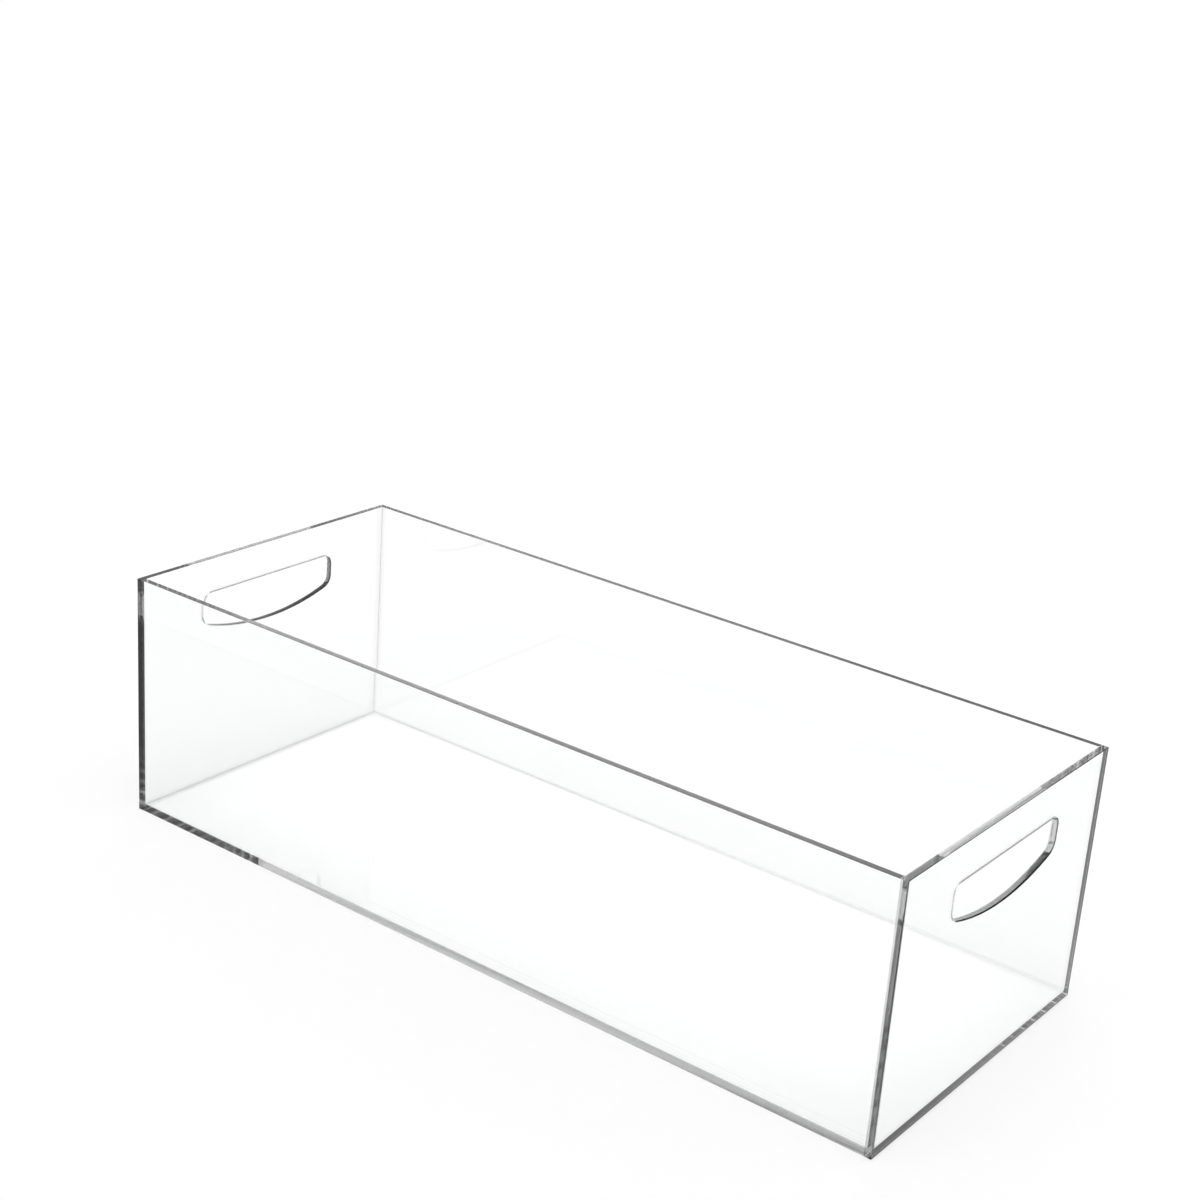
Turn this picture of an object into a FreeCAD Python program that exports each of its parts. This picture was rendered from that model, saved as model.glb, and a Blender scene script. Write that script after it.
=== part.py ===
import FreeCAD, Part
import math
import os

from FreeCAD import Vector

# Open-top storage case of clear acrylic: five laser-cut panels joined edge to face with solvent cement.
# Millimetres. +X runs along the case, +Z is up, and the origin is the middle of the footprint.

# Outside of the case
case_length = 400.0
case_width = 160.0
case_height = 115.0

# Sheet that all five panels are cut from, and the buffed round on its exposed edges
sheet = 3.0
edge_round = 0.3

# Cured cement: film in each joint, and the bead it leaves along each inside corner
bond_film = 0.15
bead_leg = 0.9
bead_contact_angle = 20.0

# Hand slot in each end panel: straight top, upright ends, bowed lower edge
slot_width = 82.0
slot_below_rim = 17.0
slot_upright = 14.5
slot_bow = 7.0
slot_top_radius = 4.0
slot_low_radius = 6.0
slot_grip_round = 0.6

# Faces that several pieces share
half_length = case_length / 2
half_width = case_width / 2
inside_x = half_length - sheet
inside_y = half_width - sheet
wall_end_x = inside_x - bond_film
wall_foot_z = sheet + bond_film

# How far from a face the middle of an edge may lie and still count as on it
near = sheet / 4


def span(a, b):
    """Lower and upper limit of a stretch given by its two ends in either order."""
    return min(a, b), max(a, b)


def block(x_span, y_span, z_span):
    """Solid between two limits on each axis."""
    spans = (x_span, y_span, z_span)
    corner = Vector(*[low for low, high in spans])
    return Part.makeBox(*[high - low for low, high in spans], corner)


def rounded(solid, radius, chosen):
    """The solid with the edges rounded whose middle point passes the test."""
    edges = [edge for edge in solid.Edges if chosen(edge.CenterOfMass)]
    return solid.makeFillet(radius, edges)


def base_panel():
    """Floor of the case, between the end panels and under both long walls."""
    panel = block(span(-wall_end_x, wall_end_x), span(-half_width, half_width), (0, sheet))

    def long_lower_edge(middle):
        return abs(middle.y) > inside_y and middle.z < near

    return rounded(panel, edge_round, long_lower_edge)


def long_wall(side):
    """Front (side -1) or back (side 1) wall, standing on the base between the end panels."""
    panel = block(
        span(-wall_end_x, wall_end_x),
        span(side * inside_y, side * half_width),
        (wall_foot_z, case_height),
    )

    def rim_edge(middle):
        return abs(middle.x) < sheet and middle.z > case_height - near

    return rounded(panel, edge_round, rim_edge)


def slot_cutter(side):
    """Hand slot as a prism that reaches past both faces of the end panel."""
    half = slot_width / 2
    overshoot = sheet
    start_x = side * (inside_x - overshoot)
    top = case_height - slot_below_rim
    shoulder = top - slot_upright
    top_near = Vector(start_x, -half, top)
    top_far = Vector(start_x, half, top)
    low_near = Vector(start_x, -half, shoulder)
    low_far = Vector(start_x, half, shoulder)
    lowest = Vector(start_x, 0, shoulder - slot_bow)
    outline = Part.Wire([
        Part.LineSegment(low_near, top_near).toShape(),
        Part.LineSegment(top_near, top_far).toShape(),
        Part.LineSegment(top_far, low_far).toShape(),
        Part.Arc(low_far, lowest, low_near).toShape(),
    ])
    prism = Part.Face(outline).extrude(Vector(side * (sheet + 2 * overshoot), 0, 0))
    middle_x = inside_x + sheet / 2

    def crosswise(middle):
        return abs(abs(middle.x) - middle_x) < near

    halfway = shoulder + slot_upright / 2
    prism = rounded(prism, slot_top_radius, lambda middle: crosswise(middle) and middle.z > halfway)
    return rounded(prism, slot_low_radius, lambda middle: crosswise(middle) and middle.z < halfway)


def end_panel(side):
    """Left (side -1) or right (side 1) end, full width and height, with its hand slot."""
    panel = block(
        span(side * inside_x, side * half_length),
        span(-half_width, half_width),
        (0, case_height),
    )
    panel = rounded(panel, edge_round, lambda middle: abs(middle.x) > inside_x + near)
    panel = panel.cut(slot_cutter(side))
    middle_x = inside_x + sheet / 2
    slot_top = case_height - slot_below_rim
    slot_bottom = slot_top - slot_upright - slot_bow

    def slot_rim(middle):
        on_face = abs(abs(middle.x) - middle_x) > near
        across = abs(middle.y) < slot_width / 2 + slot_grip_round
        upright = slot_bottom - slot_grip_round < middle.z < slot_top + slot_grip_round
        return on_face and across and upright

    return rounded(panel, slot_grip_round, slot_rim)


def bead(corner, first, second, run):
    """Bead of cement in an inside corner, hollow so that it meets both faces at its contact angle."""
    straight_angle = 45.0
    half_chord = bead_leg / math.sqrt(2)
    hollow = half_chord * math.tan(math.radians(straight_angle - bead_contact_angle) / 2)
    toe_first = corner + first * bead_leg
    toe_second = corner + second * bead_leg
    deepest = corner + (first + second) * ((half_chord - hollow) / math.sqrt(2))
    section = Part.Wire([
        Part.LineSegment(corner, toe_first).toShape(),
        Part.Arc(toe_first, deepest, toe_second).toShape(),
        Part.LineSegment(toe_second, corner).toShape(),
    ])
    return Part.Face(section).extrude(run)


def wall_seam(side):
    """Cement under a long wall, with its bead along the base."""
    film = block(
        span(-inside_x, inside_x),
        span(side * inside_y, side * half_width),
        (sheet, wall_foot_z),
    )
    corner = Vector(-inside_x, side * inside_y, sheet)
    run = Vector(2 * inside_x, 0, 0)
    return film.fuse(bead(corner, Vector(0, -side, 0), Vector(0, 0, 1), run))


def end_seam(side):
    """Cement between an end panel and the end of the base, with its bead across the base."""
    film = block(
        span(side * wall_end_x, side * inside_x),
        span(-half_width, half_width),
        (0, sheet),
    )
    corner = Vector(side * inside_x, -inside_y, sheet)
    run = Vector(0, 2 * inside_y, 0)
    return film.fuse(bead(corner, Vector(-side, 0, 0), Vector(0, 0, 1), run))


def corner_seam(wall_side, end_side):
    """Cement between the end of a long wall and an end panel, with its bead up the corner."""
    film = block(
        span(end_side * wall_end_x, end_side * inside_x),
        span(wall_side * inside_y, wall_side * half_width),
        (wall_foot_z, case_height),
    )
    corner = Vector(end_side * inside_x, wall_side * inside_y, sheet)
    run = Vector(0, 0, case_height - sheet)
    return film.fuse(bead(corner, Vector(-end_side, 0, 0), Vector(0, -wall_side, 0), run))


def wiped_flush(seam):
    """The seam without what would stand proud of the rounded long edges of the case."""
    outside = block(span(-half_length, half_length), span(-half_width, half_width), (0, case_height))

    def long_edge(middle):
        return abs(middle.x) < sheet and abs(middle.y) > inside_y

    return seam.common(rounded(outside, edge_round, long_edge))


walls = {"front": -1, "back": 1}
ends = {"left": -1, "right": 1}

pieces = {"base_panel": base_panel()}
for wall, side in walls.items():
    pieces[f"{wall}_panel"] = long_wall(side)
    pieces[f"{wall}_base_seam"] = wall_seam(side)
for end, side in ends.items():
    pieces[f"{end}_end_panel"] = end_panel(side)
    seam = end_seam(side)
    for wall in walls:
        seam = seam.cut(pieces[f"{wall}_base_seam"])
    pieces[f"{end}_base_seam"] = wiped_flush(seam)
for wall, wall_side in walls.items():
    for end, end_side in ends.items():
        seam = corner_seam(wall_side, end_side)
        seam = seam.cut(pieces[f"{wall}_base_seam"]).cut(pieces[f"{end}_base_seam"])
        pieces[f"{wall}_{end}_corner_seam"] = wiped_flush(seam)

os.makedirs("parts", exist_ok=True)
for name, shape in pieces.items():
    shape = shape.removeSplitter()
    print(f"{name}: {len(shape.Solids)} solid, valid {shape.isValid()}, {shape.Volume:.1f} mm3")
    shape.exportStep(f"parts/{name}.step")
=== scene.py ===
import math

import bmesh
import bpy
from mathutils import Matrix, Vector


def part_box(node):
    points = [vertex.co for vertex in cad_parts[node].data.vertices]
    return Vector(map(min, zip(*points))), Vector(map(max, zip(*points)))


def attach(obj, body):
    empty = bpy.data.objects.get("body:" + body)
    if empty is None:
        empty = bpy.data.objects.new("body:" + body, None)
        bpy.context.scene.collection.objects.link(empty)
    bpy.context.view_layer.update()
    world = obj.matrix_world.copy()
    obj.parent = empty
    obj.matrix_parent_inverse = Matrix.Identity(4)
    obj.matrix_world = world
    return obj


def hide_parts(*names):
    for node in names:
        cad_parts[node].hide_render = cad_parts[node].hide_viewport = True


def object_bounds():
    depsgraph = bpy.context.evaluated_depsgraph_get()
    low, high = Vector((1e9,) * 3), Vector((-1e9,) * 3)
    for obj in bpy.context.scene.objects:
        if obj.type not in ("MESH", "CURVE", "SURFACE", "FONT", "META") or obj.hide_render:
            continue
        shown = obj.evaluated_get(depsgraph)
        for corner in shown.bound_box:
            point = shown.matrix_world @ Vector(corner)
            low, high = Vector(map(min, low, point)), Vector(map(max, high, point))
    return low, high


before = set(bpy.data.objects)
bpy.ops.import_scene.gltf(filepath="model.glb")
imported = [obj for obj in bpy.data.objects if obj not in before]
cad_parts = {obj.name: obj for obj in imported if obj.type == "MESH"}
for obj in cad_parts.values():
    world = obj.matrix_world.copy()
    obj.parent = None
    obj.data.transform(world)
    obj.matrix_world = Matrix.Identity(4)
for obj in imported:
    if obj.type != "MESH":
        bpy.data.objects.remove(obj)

cad_low, cad_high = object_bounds()

# Base panel
# Floor of the case, a rectangle laser-cut from 3 mm clear cast acrylic. Its ends are cemented to the
# end panels, both long walls stand on its long edges, and its lower long edges are buffed round.

base_low, base_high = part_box("base_panel")
sheet = base_high.z - base_low.z
base_end_x = base_high.x
half_width = base_high.y
inside_y = half_width - sheet
edge_round = 0.0003
edge_round_steps = 4
acrylic_ior = 1.49
usual_bounce_loss = 0.2


class Link:
    """A socket in a node tree. Arithmetic on links adds Math nodes."""

    def __init__(self, tree, socket=None):
        self.tree = tree
        self.socket = socket

    def node(self, kind, settings, sockets, out=0):
        """Adds a node: its settings first, then the values or links of its sockets."""
        node = self.tree.nodes.new(kind)
        for setting, value in settings.items():
            setattr(node, setting, value)
        for name, value in sockets.items():
            if isinstance(value, Link):
                self.tree.links.new(value.socket, node.inputs[name])
            else:
                node.inputs[name].default_value = value
        return Link(self.tree, node.outputs[out] if node.outputs else None)

    def math(self, operation, first, second=0.0):
        return self.node("ShaderNodeMath", {"operation": operation}, {0: first, 1: second})

    def __add__(self, other):
        return self.math("ADD", self, other)

    def __sub__(self, other):
        return self.math("SUBTRACT", self, other)

    def __rsub__(self, other):
        return self.math("SUBTRACT", other, self)

    def __mul__(self, other):
        return self.math("MULTIPLY", self, other)

    def __pow__(self, other):
        return self.math("POWER", self, other)

    def __gt__(self, other):
        return self.math("GREATER_THAN", self, other)

    __radd__ = __add__
    __rmul__ = __mul__


def new_finish(name):
    """Empty material, and the start of its nodes."""
    finish = bpy.data.materials.new(name)
    finish.use_nodes = True
    finish.node_tree.nodes.clear()
    return finish, Link(finish.node_tree)


def grey(level):
    return (level, level, level, 1.0)


def between(start, amount, low, high):
    """Colour that goes from low to high as the amount goes from 0 to 1."""
    return start.node(
        "ShaderNodeMix", {"data_type": "RGBA"}, {"Factor": amount, 6: low, 7: high}, 2
    )


def own_place(start):
    """Place on the piece, in metres."""
    return start.node("ShaderNodeTexCoord", {}, {}, "Object")


def part_of(start, vector, axis):
    """Part of a vector along one axis."""
    return start.node("ShaderNodeSeparateXYZ", {}, {"Vector": vector}, axis)


def clouds(start, place, scale, detail):
    """Cloudy pattern between 0 and 1, finer with a larger scale."""
    return start.node("ShaderNodeTexNoise", {}, {"Vector": place, "Scale": scale, "Detail": detail})


def relief(start, depth, height):
    """Direction of a surface with a fine relief, where a height of 1 stands for the depth."""
    return start.node("ShaderNodeBump", {}, {"Strength": 1.0, "Distance": depth, "Height": height})


def ray_fact(start, fact):
    """What is known of the ray that meets the surface."""
    return start.node("ShaderNodeLightPath", {}, {}, fact)


def from_inside(start):
    """1 where a ray meets the surface from inside the piece, and 0 elsewhere."""
    return start.node("ShaderNodeNewGeometry", {}, {}, "Backfacing")


def turned_before(start):
    """1 on a ray that a face has already turned back, and 0 on others."""
    return ray_fact(start, "Glossy Depth") > 0.0


def end_as_clear(start, colour, roughness, normal, bounce_loss=usual_bounce_loss, scatter=0.0):
    """Ends a finish as clear plastic that loses light at each bounce inside and lets lamps through.

    A ray that stays in the sheet goes further from face to face than any ray that leaves it. The
    steeper such a ray meets the face, the more of it the face scatters.
    """
    lamp_light = 0.94
    margin = 1.01
    longest_way_out = margin * sheet / math.sqrt(1.0 - acrylic_ior ** -2)
    plastic = start.node("ShaderNodeBsdfPrincipled", {}, {
        "Base Color": colour,
        "Roughness": roughness,
        "Normal": normal,
        "IOR": acrylic_ior,
        "Transmission Weight": 1.0,
    })
    dark = start.node("ShaderNodeBsdfDiffuse", {}, {"Color": grey(0.0)})
    length = ray_fact(start, "Ray Length")
    stays_inside = from_inside(start) * (length > longest_way_out)
    lost = stays_inside * length ** -2.0 * (bounce_loss * sheet ** 2) + scatter
    dimmed = start.node("ShaderNodeMixShader", {}, {0: lost, 1: plastic, 2: dark})
    passing = start.node("ShaderNodeBsdfTransparent", {}, {"Color": grey(lamp_light)})
    lamp_ray = ray_fact(start, "Is Shadow Ray")
    surface = start.node("ShaderNodeMixShader", {}, {0: lamp_ray, 1: dimmed, 2: passing})
    start.node("ShaderNodeOutputMaterial", {}, {"Surface": surface})


def cast_face_finish(name, bounce_loss=usual_bounce_loss):
    """Cast face: long faint waves from the casting, and a thin film of handling marks."""
    marked_colour = (0.976, 0.979, 0.979, 1.0)
    clean_colour = (0.990, 0.992, 0.992, 1.0)
    most_roughness = 0.03
    wave_depth = 0.00005
    finish, start = new_finish(name)
    place = own_place(start)
    wave = clouds(start, place, scale=14.0, detail=1.0)
    mark = clouds(start, place, scale=45.0, detail=5.0)
    end_as_clear(
        start,
        colour=between(start, mark, marked_colour, clean_colour),
        roughness=mark * most_roughness,
        normal=relief(start, wave_depth, wave),
        bounce_loss=bounce_loss,
    )
    return finish


def cut_edge_finish(name, ridged_along, scatter, foot_shade=0.0, rough_from=0.0):
    """Laser-cut edge: fine ridges that run across the sheet, and a grain that scatters light.

    The ridges follow each other along the axes marked 1. The grain catches light from outside, and
    light from inside on the part of the edge further out than rough_from. Painted shade adds to it
    along the foot, where the edge meets the floor. Light that has already turned inside the sheet
    runs too flat to be caught.
    """
    worn_colour = (0.93, 0.94, 0.94, 1.0)
    clean_colour = (0.97, 0.98, 0.98, 1.0)
    least_roughness = 0.02
    patch_roughness = 0.06
    least_grain = 0.5
    ridge_depth = 0.000001
    foot_height = 0.0006
    finish, start = new_finish(name)
    place = own_place(start)
    along = start.node("ShaderNodeMapping", {}, {"Vector": place, "Scale": ridged_along})
    ridge = clouds(start, along, scale=1800.0, detail=2.0)
    patch = clouds(start, place, scale=60.0, detail=3.0)
    # Painted shade: the foot of the edge is darkened where it meets the floor
    foot = 1.0 - (part_of(start, place, "Z") > foot_height)
    far_out = start.math("ABSOLUTE", part_of(start, place, "X")) > rough_from
    rough = far_out * (1.0 - turned_before(start))
    caught = start.math("MAXIMUM", 1.0 - from_inside(start), rough)
    end_as_clear(
        start,
        colour=between(start, patch, worn_colour, clean_colour),
        roughness=least_roughness + patch * patch_roughness,
        normal=relief(start, ridge_depth, ridge),
        scatter=scatter * (least_grain + patch) * caught + foot * foot_shade * rough,
    )
    return finish


def end_as_cement(start, share, haze):
    """Ends a finish as cured cement: rays go straight on, but for the share that the haze catches."""
    clear = start.node("ShaderNodeBsdfTransparent", {}, {"Color": grey(1.0)})
    surface = start.node("ShaderNodeMixShader", {}, {0: share, 1: clear, 2: haze})
    start.node("ShaderNodeOutputMaterial", {}, {"Surface": surface})


# Cemented face: the cement bends light as the sheet does, so only a faint haze shows
cement_colour = (0.80, 0.82, 0.83, 1.0)
speck_share = 0.04
joint_finish, start = new_finish("cemented_face")
speck = clouds(start, own_place(start), scale=900.0, detail=2.0)
haze = start.node("ShaderNodeBsdfPrincipled", {}, {"Base Color": cement_colour, "Roughness": 0.5})
end_as_cement(start, speck * speck_share, haze)

# Cemented ends of the base: painted shade, a near-black share in the joint, in blotches, that darkens light
# which has turned inside the sheet
least_painted_shade = 0.1
blotch_shade_share = 0.5
base_joint_shade_finish, start = new_finish("cemented_end_painted_shade")
shade_blotch = clouds(start, own_place(start), scale=900.0, detail=2.0)
shade = start.node("ShaderNodeBsdfDiffuse", {}, {"Color": grey(0.05)})
end_as_cement(start, turned_before(start) * (least_painted_shade + shade_blotch * blotch_shade_share), shade)


def cut_plate(outline, hole=()):
    """Plate cut from the sheet to an outline, and to a hole if there is one, flat on its own plane."""
    plate = bmesh.new()
    rim = []
    for points in (outline, hole):
        corners = [plate.verts.new((u, v, 0.0)) for u, v in points]
        rim += [plate.edges.new(pair) for pair in zip(corners, corners[1:] + corners[:1])]
    bmesh.ops.triangle_fill(plate, use_beauty=True, edges=rim, normal=(0, 0, 1))
    grown = bmesh.ops.extrude_face_region(plate, geom=plate.faces[:])
    raised = [part for part in grown["geom"] if isinstance(part, bmesh.types.BMVert)]
    bmesh.ops.translate(plate, verts=raised, vec=(0.0, 0.0, sheet))
    bmesh.ops.recalc_face_normals(plate, faces=plate.faces[:])
    return plate


def middle_of(edge):
    return (edge.verts[0].co + edge.verts[1].co) / 2


def round_edges(plate, radius, steps, chosen):
    """Buffs those sharp edges of the plate round whose middle passes the test."""
    sharp_angle = 0.5
    circular = 0.5
    sharp = [edge for edge in plate.edges if edge.calc_face_angle(0.0) > sharp_angle]
    bmesh.ops.bevel(
        plate, geom=[edge for edge in sharp if chosen(middle_of(edge))],
        offset=radius, offset_type="OFFSET", segments=steps,
        profile=circular, affect="EDGES", clamp_overlap=True,
    )


def score_line(plate, point, across):
    """Splits the plate's faces along a plane, so that a strip of a face can have its own finish."""
    same_place = 1e-7
    every_part = plate.verts[:] + plate.edges[:] + plate.faces[:]
    bmesh.ops.bisect_plane(plate, geom=every_part, plane_co=point, plane_no=across, dist=same_place)


# Order of the finishes on each panel, and the part of a normal that makes a face look mostly one way
cast_face, cut_edge, bonded_face = range(3)
mostly = 0.5


def panel_piece(name, node, plate, across, origin, face_finish, edge_finish, cemented):
    """Stands a plate in its place and gives each of its faces the finish that it has there."""
    flat_normal = 0.9999
    face_normal = 0.95
    outward = Vector(across)
    upward = Vector((0, 1, 0)) if abs(outward.z) > mostly else Vector((0, 0, 1))
    sideways = upward.cross(outward)
    place = Matrix((sideways, upward, outward)).transposed().to_4x4()
    place.translation = origin
    bmesh.ops.transform(plate, matrix=place, verts=plate.verts[:])
    bmesh.ops.recalc_face_normals(plate, faces=plate.faces[:])
    for face in plate.faces:
        facing = abs(face.normal.dot(outward))
        flat = max(abs(part) for part in face.normal) > flat_normal
        if flat and cemented(face.calc_center_median(), face.normal):
            face.material_index = bonded_face
        else:
            face.material_index = cast_face if facing > face_normal else cut_edge
        face.smooth = not flat
    mesh = bpy.data.meshes.new(name)
    plate.to_mesh(mesh)
    plate.free()
    for finish in (face_finish, edge_finish, joint_finish):
        mesh.materials.append(finish)
    piece = bpy.data.objects.new(name, mesh)
    bpy.context.scene.collection.objects.link(piece)
    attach(piece, "root")
    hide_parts(node)
    return piece


def refinish(piece, finish, chosen):
    """Gives those faces of a finished piece that pass the test another finish."""
    number = len(piece.data.materials)
    piece.data.materials.append(finish)
    for face in piece.data.polygons:
        if chosen(face):
            face.material_index = number


def rectangle(half_u, low_v, high_v):
    return [(-half_u, low_v), (half_u, low_v), (half_u, high_v), (-half_u, high_v)]


plain_face_finish = cast_face_finish("acrylic_face")
# Base edges: a little painted shade along their foot, where they meet the floor
base_edge_finish = cut_edge_finish(
    "acrylic_base_edge", ridged_along=(1.0, 1.0, 0.0), scatter=0.02, foot_shade=0.15,
)
base = cut_plate(rectangle(base_end_x, -half_width, half_width))
round_edges(
    base, edge_round, edge_round_steps,
    lambda middle: abs(middle.y) > inside_y and middle.z < sheet / 4,
)
for side in (-1, 1):
    score_line(base, (0.0, side * inside_y, 0.0), (0, 1, 0))


def base_cemented(middle, normal):
    under_wall = normal.z > mostly and abs(middle.y) > inside_y
    return under_wall or abs(normal.x) > mostly


piece = panel_piece(
    "base_sheet", "base_panel", base, across=(0, 0, 1), origin=(0.0, 0.0, 0.0),
    face_finish=plain_face_finish, edge_finish=base_edge_finish, cemented=base_cemented,
)
# The base's cemented ends get the joint's painted shade
refinish(
    piece, base_joint_shade_finish,
    lambda face: face.material_index == bonded_face and abs(face.normal.x) > mostly,
)

# Long walls
# Front and back wall, two rectangles of the same sheet. Each stands on the base with a film of cement
# under its foot and at both ends, and its rim is buffed round.

wall_low, wall_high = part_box("back_panel")
wall_edge_finish = cut_edge_finish("acrylic_wall_edge", ridged_along=(1.0, 0.0, 1.0), scatter=0.05)


def wall_cemented(middle, normal):
    return normal.z < -mostly or abs(normal.x) > mostly


for name, side in {"front": -1, "back": 1}.items():
    wall = cut_plate(rectangle(wall_high.x, wall_low.z, wall_high.z))
    round_edges(
        wall, edge_round, edge_round_steps,
        lambda middle: abs(middle.x) < sheet and middle.y > wall_high.z - sheet / 4,
    )
    panel_piece(
        f"{name}_sheet", f"{name}_panel", wall,
        across=(0, side, 0), origin=(0.0, side * inside_y, 0.0),
        face_finish=plain_face_finish, edge_finish=wall_edge_finish, cemented=wall_cemented,
    )

# End panels
# Left and right end, full width and height, so they cover the ends of the base and of both walls. Each
# has a hand slot with a straight top and a bowed lower edge, eased all round so that it can be gripped.

inside_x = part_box("right_end_panel")[0].x
rim_height = cad_high.z
slot_half = 0.041
slot_below_rim = 0.017
slot_upright = 0.0145
slot_top = rim_height - slot_below_rim
slot_shoulder = slot_top - slot_upright
slot_bow = 0.007
slot_top_radius = 0.004
slot_low_radius = 0.006
slot_grip_round = 0.0006
slot_grip_steps = 6
corner_steps = 12
bow_steps = 48
along_end_edges = (0.0, 1.0, 1.0)

# The faces of the ends lose four times as much light at each bounce inside as the other faces. The outer
# half of their edge is rougher.
end_face_finish = cast_face_finish("acrylic_end_face", bounce_loss=0.8)
# End edges: the most painted shade along their foot, where they meet the floor
end_edge_finish = cut_edge_finish(
    "acrylic_end_edge", ridged_along=along_end_edges, scatter=0.26, foot_shade=0.65,
    rough_from=inside_x + sheet / 2,
)
polished_edge_finish = cut_edge_finish("acrylic_polished_edge", ridged_along=along_end_edges, scatter=0.18)


def arc(centre, radius, start_angle, end_angle, steps):
    """Points along an arc, its two ends among them."""
    turn = [start_angle + (end_angle - start_angle) * step / steps for step in range(steps + 1)]
    return [(centre[0] + radius * math.cos(a), centre[1] + radius * math.sin(a)) for a in turn]


def slot_outline():
    """Outline of the hand slot, counter-clockwise from the right end of its bowed lower edge."""
    bow_radius = (slot_half ** 2 + slot_bow ** 2) / (2 * slot_bow)
    bow_height = slot_shoulder - slot_bow + bow_radius
    low_y = slot_half - slot_low_radius
    low_z = bow_height - math.sqrt((bow_radius - slot_low_radius) ** 2 - low_y ** 2)
    lean = math.atan2(low_z - bow_height, low_y)
    top_y = slot_half - slot_top_radius
    top_z = slot_top - slot_top_radius
    left_lean = -math.pi - lean
    outline = arc((low_y, low_z), slot_low_radius, lean, 0.0, corner_steps)
    outline += arc((top_y, top_z), slot_top_radius, 0.0, math.pi / 2, corner_steps)
    outline += arc((-top_y, top_z), slot_top_radius, math.pi / 2, math.pi, corner_steps)
    outline += arc((-low_y, low_z), slot_low_radius, -math.pi, left_lean, corner_steps)
    bow = arc((0.0, bow_height), bow_radius, left_lean, lean, bow_steps)
    return outline + bow[1:-1]


def end_cemented(middle, normal):
    inner = abs(middle.x) < inside_x + sheet / 4 and abs(normal.x) > mostly
    return inner and (abs(middle.y) > inside_y or middle.z < sheet)


def within_slot(across, height):
    slot_bottom = slot_shoulder - slot_bow
    return abs(across) < slot_half + sheet and slot_bottom - sheet < height < slot_top + sheet


def hand_touches(middle):
    """True on the hand slot and on the rim, which are polished after the cutting."""
    return within_slot(middle.y, middle.z) or middle.z > rim_height - 2 * edge_round


for name, side in {"left": -1, "right": 1}.items():
    end = cut_plate(rectangle(half_width, 0.0, rim_height), slot_outline())
    round_edges(
        end, edge_round, edge_round_steps,
        lambda middle: not within_slot(middle.x, middle.y) and middle.z > sheet / 4,
    )
    round_edges(
        end, slot_grip_round, slot_grip_steps,
        lambda middle: within_slot(middle.x, middle.y) and abs(middle.z - sheet / 2) > sheet / 4,
    )
    score_line(end, (0.0, sheet, 0.0), (0, 1, 0))
    for wall_side in (-1, 1):
        score_line(end, (wall_side * inside_y, 0.0, 0.0), (1, 0, 0))
    piece = panel_piece(
        f"{name}_end_sheet", f"{name}_end_panel", end,
        across=(side, 0, 0), origin=(side * inside_x, 0.0, 0.0),
        face_finish=end_face_finish, edge_finish=end_edge_finish, cemented=end_cemented,
    )
    refinish(
        piece, polished_edge_finish,
        lambda face: face.material_index == cut_edge and hand_touches(face.center),
    )

# Cement seams
# Clear solvent cement, run into each of the eight joints. It has cured to a thin film between the
# panels, with a small hollow bead along the inside corner, mitred where three beads meet.

film = inside_x - base_end_x
bead_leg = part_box("front_base_seam")[1].z - sheet
bead_gap = 0.00002
contact_angle = math.radians(20.0)
half_chord = bead_leg / math.sqrt(2)
sagitta = half_chord * math.tan((math.pi / 4 - contact_angle) / 2)
hollow_radius = (half_chord ** 2 + sagitta ** 2) / (2 * sagitta)
hollow_centre = (half_chord - sagitta + hollow_radius) / math.sqrt(2)
hollow_steps = 12


def bead_finish(name, haziness):
    """Skin of a bead: as clear as the air round it but for a haze, rippled where the cement drew in."""
    pale_colour = (0.90, 0.92, 0.92, 1.0)
    least_roughness = 0.2
    ripple_roughness = 0.2
    least_haze = 0.5
    ripple_depth = 0.00005
    finish, start = new_finish(name)
    ripple = clouds(start, own_place(start), scale=220.0, detail=2.0)
    haze = start.node("ShaderNodeBsdfPrincipled", {}, {
        "Base Color": between(start, ripple, cement_colour, pale_colour),
        "Roughness": least_roughness + ripple * ripple_roughness,
        "Normal": relief(start, ripple_depth, ripple),
    })
    end_as_cement(start, haziness * (least_haze + ripple), haze)
    return finish


base_bead_finish = bead_finish("cement_base_bead", haziness=0.2)
corner_bead_finish = bead_finish("cement_corner_bead", haziness=0.08)

seam_tree = bpy.data.node_groups.new("cement_seam", "GeometryNodeTree")
seam_tree.interface.new_socket("Geometry", in_out="INPUT", socket_type="NodeSocketGeometry")
seam_inputs = {
    "Bead From": "NodeSocketFloat",
    "Bead To": "NodeSocketFloat",
    "Mitre From": "NodeSocketFloat",
    "Mitre To": "NodeSocketFloat",
    "Hollow Centre": "NodeSocketFloat",
    "Hollow Radius": "NodeSocketFloat",
    "Film Size": "NodeSocketVector",
    "Film Middle": "NodeSocketVector",
    "Bead Finish": "NodeSocketMaterial",
    "Film Finish": "NodeSocketMaterial",
}
seam_sockets = {
    name: seam_tree.interface.new_socket(name, in_out="INPUT", socket_type=kind).identifier
    for name, kind in seam_inputs.items()
}
seam_tree.interface.new_socket("Geometry", in_out="OUTPUT", socket_type="NodeSocketGeometry")
start = Link(seam_tree)
group_input = seam_tree.nodes.new("NodeGroupInput")
given = {name: Link(seam_tree, group_input.outputs[name]) for name in seam_inputs}

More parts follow.
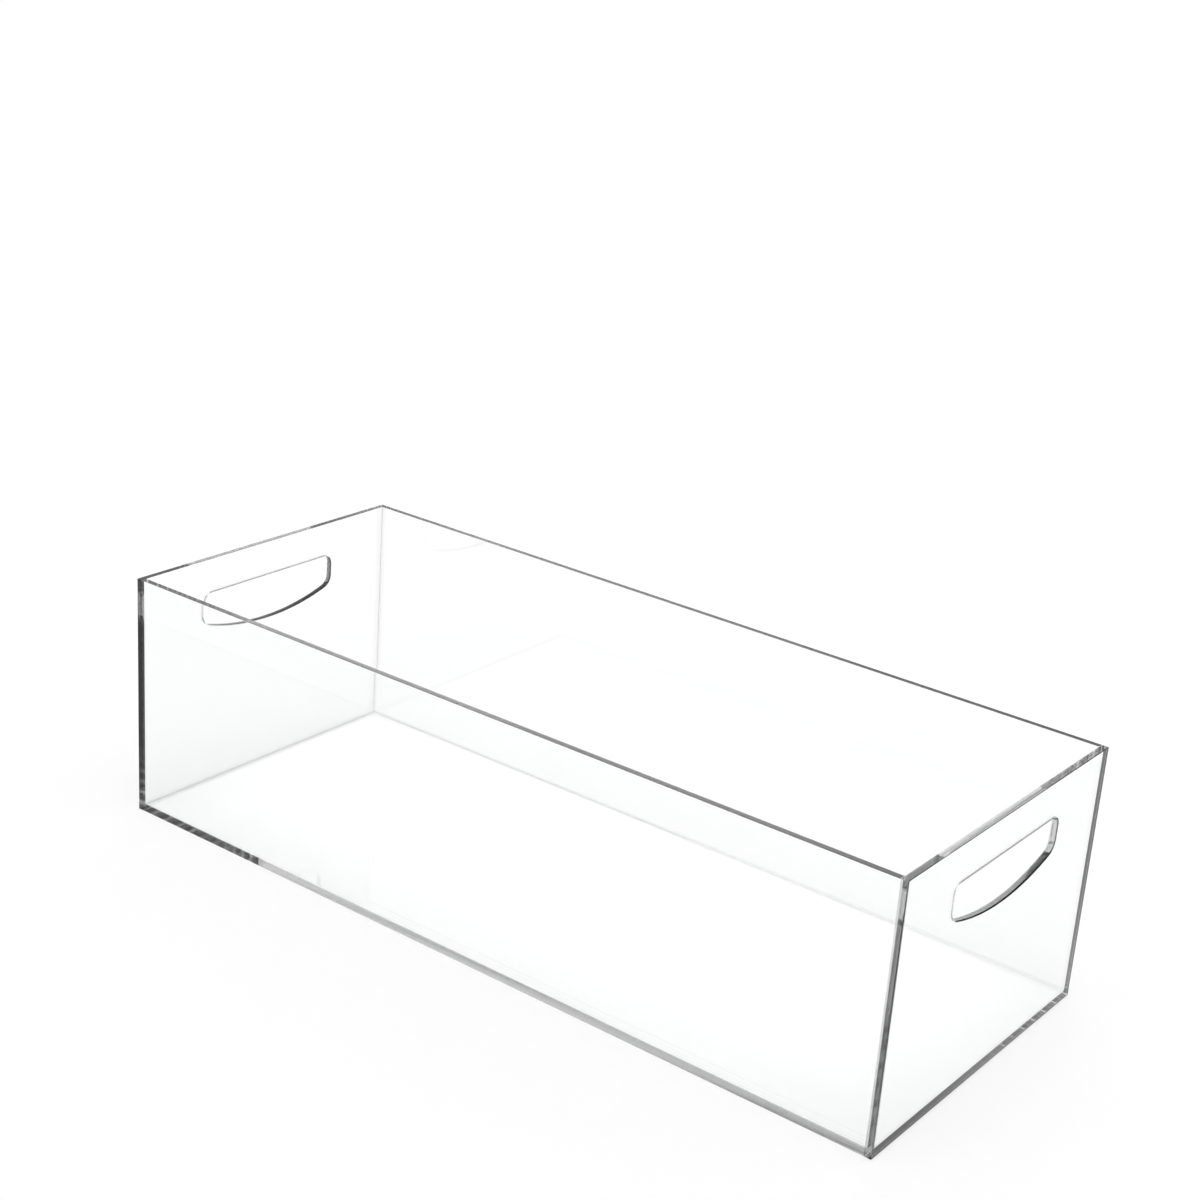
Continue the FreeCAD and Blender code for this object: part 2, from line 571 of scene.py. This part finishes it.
# Section of the bead: a quarter round drawn in to a hollow arc, seen from the corner
pie = start.node("GeometryNodeCurveArc", {"mode": "RADIUS"}, {
    "Resolution": hollow_steps + 1,
    "Radius": 1.0,
    "Start Angle": 0.0,
    "Sweep Angle": math.pi / 2,
    "Connect Center": True,
})
spot = start.node("GeometryNodeInputPosition", {}, {})
spot_x = part_of(start, spot, "X")
spot_y = part_of(start, spot, "Y")
spot_z = part_of(start, spot, "Z")
towards = (spot_x + spot_y) * given["Hollow Centre"]
outside = given["Hollow Centre"] ** 2.0 * 2.0 - given["Hollow Radius"] ** 2.0
reach = towards - start.math("SQRT", start.math("MAXIMUM", towards ** 2.0 - outside, 0.0))
drawn_in = start.node("ShaderNodeVectorMath", {"operation": "SCALE"}, {0: spot, "Scale": reach})
section = start.node("GeometryNodeSetPosition", {}, {"Geometry": pie, "Position": drawn_in})

# Run of the bead, with each mitred end cut back where the next beads begin
run_start = start.node("ShaderNodeCombineXYZ", {}, {"Z": given["Bead From"]})
run_end = start.node("ShaderNodeCombineXYZ", {}, {"Z": given["Bead To"]})
run = start.node("GeometryNodeCurvePrimitiveLine", {"mode": "POINTS"}, {"Start": run_start, "End": run_end})
bead = start.node("GeometryNodeCurveToMesh", {}, {"Curve": run, "Profile Curve": section, "Fill Caps": True})
cut_back = start.math("MAXIMUM", spot_x, spot_y)
halfway = (given["Bead From"] + given["Bead To"]) * 0.5
at_end = spot_z > halfway
shift = cut_back * ((1.0 - at_end) * given["Mitre From"] - at_end * given["Mitre To"])
offset = start.node("ShaderNodeCombineXYZ", {}, {"Z": shift})
bead = start.node("GeometryNodeSetPosition", {}, {"Geometry": bead, "Offset": offset})

# Film between the panels, and the finishes: only the hollow side of the bead looks both ways at once
slab = start.node("GeometryNodeMeshCube", {}, {"Size": given["Film Size"]})
slab = start.node("GeometryNodeTransform", {}, {"Geometry": slab, "Translation": given["Film Middle"]})
both = start.node("GeometryNodeJoinGeometry", {}, {})
for part in (bead, slab):
    seam_tree.links.new(part.socket, both.socket.node.inputs["Geometry"])
whole = start.node("GeometryNodeRealizeInstances", {}, {"Geometry": both})
whole = start.node("GeometryNodeSetMaterial", {}, {"Geometry": whole, "Material": given["Film Finish"]})
normal = start.node("GeometryNodeInputNormal", {}, {})
both_ways = 0.05
hollow_side = part_of(start, normal, "X") * part_of(start, normal, "Y") > both_ways
whole = start.node(
    "GeometryNodeSetMaterial", {},
    {"Geometry": whole, "Selection": hollow_side, "Material": given["Bead Finish"]},
)
start.node("NodeGroupOutput", {}, {"Geometry": whole})


def seam_piece(node, finish, corner, along_first, along_second, bead_run, mitres, film_run):
    """Cement in one joint. The film lies behind the corner, and the bead stands along both directions.

    The bead keeps a hair's breadth off the panels, so that no two faces lie in one plane there.
    """
    name = node.replace("seam", "cement")
    maker = bpy.data.objects.new(f"{name}_maker", bpy.data.meshes.new(name))
    bpy.context.scene.collection.objects.link(maker)
    nodes = maker.modifiers.new("cement", "NODES")
    nodes.node_group = seam_tree
    film_length = film_run[1] - film_run[0]
    film_middle = (film_run[0] + film_run[1]) / 2
    sizes = {
        "Bead From": bead_run[0],
        "Bead To": bead_run[1],
        "Mitre From": mitres[0],
        "Mitre To": mitres[1],
        "Hollow Centre": hollow_centre,
        "Hollow Radius": hollow_radius,
        "Film Size": (sheet, film, film_length),
        "Film Middle": (-sheet / 2 - bead_gap, film / 2 - bead_gap, film_middle),
        "Bead Finish": finish,
        "Film Finish": joint_finish,
    }
    for size, value in sizes.items():
        nodes[seam_sockets[size]] = value
    graph = bpy.context.evaluated_depsgraph_get()
    mesh = bpy.data.meshes.new_from_object(maker.evaluated_get(graph))
    maker.modifiers.remove(nodes)
    bpy.data.objects.remove(maker)
    first, second = Vector(along_first), Vector(along_second)
    place = Matrix((first, second, first.cross(second))).transposed().to_4x4()
    place.translation = Vector(corner) + (first + second) * bead_gap
    mesh.transform(place)
    shape = bmesh.new()
    shape.from_mesh(mesh)
    bmesh.ops.recalc_face_normals(shape, faces=shape.faces[:])
    for face in shape.faces:
        face.smooth = mesh.materials[face.material_index] == finish
    shape.to_mesh(mesh)
    shape.free()
    piece = bpy.data.objects.new(name, mesh)
    bpy.context.scene.collection.objects.link(piece)
    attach(piece, "root")
    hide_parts(node)


climb = rim_height - sheet
along_wall = (-inside_x, inside_x)
for wall, side in {"front": -1, "back": 1}.items():
    seam_piece(
        f"{wall}_base_seam", base_bead_finish, corner=(0.0, side * inside_y, sheet),
        along_first=(0, -side, 0), along_second=(0, 0, 1),
        bead_run=along_wall, mitres=(1.0, 1.0), film_run=along_wall,
    )
    for end, end_side in {"left": -1, "right": 1}.items():
        runs_down = end_side * side > 0
        seam_piece(
            f"{wall}_{end}_corner_seam", corner_bead_finish,
            corner=(end_side * inside_x, side * inside_y, sheet),
            along_first=(0, -side, 0), along_second=(-end_side, 0, 0),
            bead_run=(-climb, 0.0) if runs_down else (0.0, climb),
            mitres=(0.0, 1.0) if runs_down else (1.0, 0.0),
            film_run=(-climb, -film) if runs_down else (film, climb),
        )
for end, side in {"left": -1, "right": 1}.items():
    seam_piece(
        f"{end}_base_seam", base_bead_finish, corner=(side * inside_x, 0.0, sheet),
        along_first=(0, 0, 1), along_second=(-side, 0, 0),
        bead_run=(-inside_y, inside_y), mitres=(1.0, 1.0), film_run=(-half_width, half_width),
    )

# Studio
# A white floor under an even white surround, a broad soft lamp from above, and a dark flag with soft
# sides, behind the case to the right, that gives the clear edges something to show.

bounces = 28
clear_layers = 64
scene = bpy.context.scene
scene.view_settings.view_transform = "Standard"
scene.cycles.max_bounces = bounces
scene.cycles.transmission_bounces = bounces
scene.cycles.glossy_bounces = bounces
scene.cycles.transparent_max_bounces = clear_layers


def seen_directly(start):
    """1 on a ray that shows a picture, straight or by a clear or shiny piece, and 0 on lighting rays."""
    camera_ray = ray_fact(start, "Is Camera Ray")
    glossy_ray = ray_fact(start, "Is Glossy Ray")
    clear_ray = ray_fact(start, "Is Transmission Ray")
    lighting_bounces = ray_fact(start, "Diffuse Depth")
    picture_ray = start.math("MINIMUM", camera_ray + glossy_ray + clear_ray, 1.0)
    return picture_ray * (1.0 - start.math("MINIMUM", lighting_bounces, 1.0))


ambient = 0.5
surround = bpy.data.worlds.new("surround")
surround.use_nodes = True
surround.node_tree.nodes.clear()
start = Link(surround.node_tree)
strength = ambient + seen_directly(start) * (1.0 - ambient)
white = start.node("ShaderNodeBackground", {}, {"Color": grey(1.0), "Strength": strength})
start.node("ShaderNodeOutputWorld", {}, {"Surface": white})
scene.world = surround

lamp_data = bpy.data.lights.new("soft_lamp", "SUN")
lamp_data.energy = 1.82
lamp_data.angle = math.radians(70.0)
lamp = bpy.data.objects.new("soft_lamp", lamp_data)
lamp.rotation_euler = (math.radians(20.0), math.radians(15.0), 0.0)
scene.collection.objects.link(lamp)


def stage_sheet(name, size, finish):
    """Flat square sheet that belongs to the studio."""
    shape = bmesh.new()
    bmesh.ops.create_grid(shape, x_segments=1, y_segments=1, size=size / 2)
    mesh = bpy.data.meshes.new(name)
    shape.to_mesh(mesh)
    shape.free()
    mesh.materials.append(finish)
    sheet_object = bpy.data.objects.new(name, mesh)
    scene.collection.objects.link(sheet_object)
    return sheet_object


floor_white = 0.90
floor_size = 40.0
floor_gap = 0.0002
floor_finish, start = new_finish("floor")
fill = seen_directly(start) * (1.0 - floor_white)
floor_lift = start.node("ShaderNodeCombineColor", {}, {"Red": fill, "Green": fill, "Blue": fill})
floor_surface = start.node("ShaderNodeBsdfPrincipled", {}, {
    "Base Color": grey(floor_white),
    "Roughness": 1.0,
    "Specular IOR Level": 0.0,
    "Emission Color": floor_lift,
    "Emission Strength": 1.0,
})
start.node("ShaderNodeOutputMaterial", {}, {"Surface": floor_surface})
floor = stage_sheet("floor", floor_size, floor_finish)
floor.location.z = -floor_gap

flag_distance = 1.2
flag_size = 2.4
flag_full_reach = 0.4
flag_turn = math.radians(-36.0)
flag_finish, start = new_finish("flag")
cover = start.node("ShaderNodeMapRange", {"interpolation_type": "SMOOTHSTEP"}, {
    "Value": start.math("ABSOLUTE", part_of(start, own_place(start), "X")),
    "From Min": flag_full_reach,
    "From Max": flag_size / 2,
    "To Min": 1.0,
    "To Max": 0.0,
})
see_through = start.node("ShaderNodeBsdfTransparent", {}, {"Color": grey(1.0)})
cloth = start.node("ShaderNodeBsdfDiffuse", {}, {"Color": grey(0.01)})
flag_surface = start.node("ShaderNodeMixShader", {}, {0: cover, 1: see_through, 2: cloth})
start.node("ShaderNodeOutputMaterial", {}, {"Surface": flag_surface})
flag = stage_sheet("flag", flag_size, flag_finish)
flag.location = (
    -flag_distance * math.sin(flag_turn),
    flag_distance * math.cos(flag_turn),
    flag_size / 2,
)
flag.rotation_euler = (math.pi / 2, 0.0, flag_turn)
flag.visible_camera = False
flag.visible_diffuse = False
flag.visible_shadow = False

# Camera
# The photograph's view: from the front right and a little above, tilted by a few degrees.

view_turn = math.radians(36.362)
view_height = math.radians(20.775)
view_tilt = math.radians(4.2016)
view_place = (0.507137, -0.689408, 0.466191)
back = Vector((
    math.sin(view_turn) * math.cos(view_height),
    -math.cos(view_turn) * math.cos(view_height),
    math.sin(view_height),
))
level = Vector((math.cos(view_turn), math.sin(view_turn), 0.0))
upright = back.cross(level)
rightward = math.cos(view_tilt) * level + math.sin(view_tilt) * upright
upward = math.cos(view_tilt) * upright - math.sin(view_tilt) * level
camera_data = bpy.data.cameras.new("camera")
camera_data.lens = 65.123
camera_data.sensor_width = 36.0
camera = bpy.data.objects.new("camera", camera_data)
placing = Matrix((rightward, upward, back)).transposed().to_4x4()
placing.translation = view_place
camera.matrix_world = placing
scene.collection.objects.link(camera)
scene.camera = camera
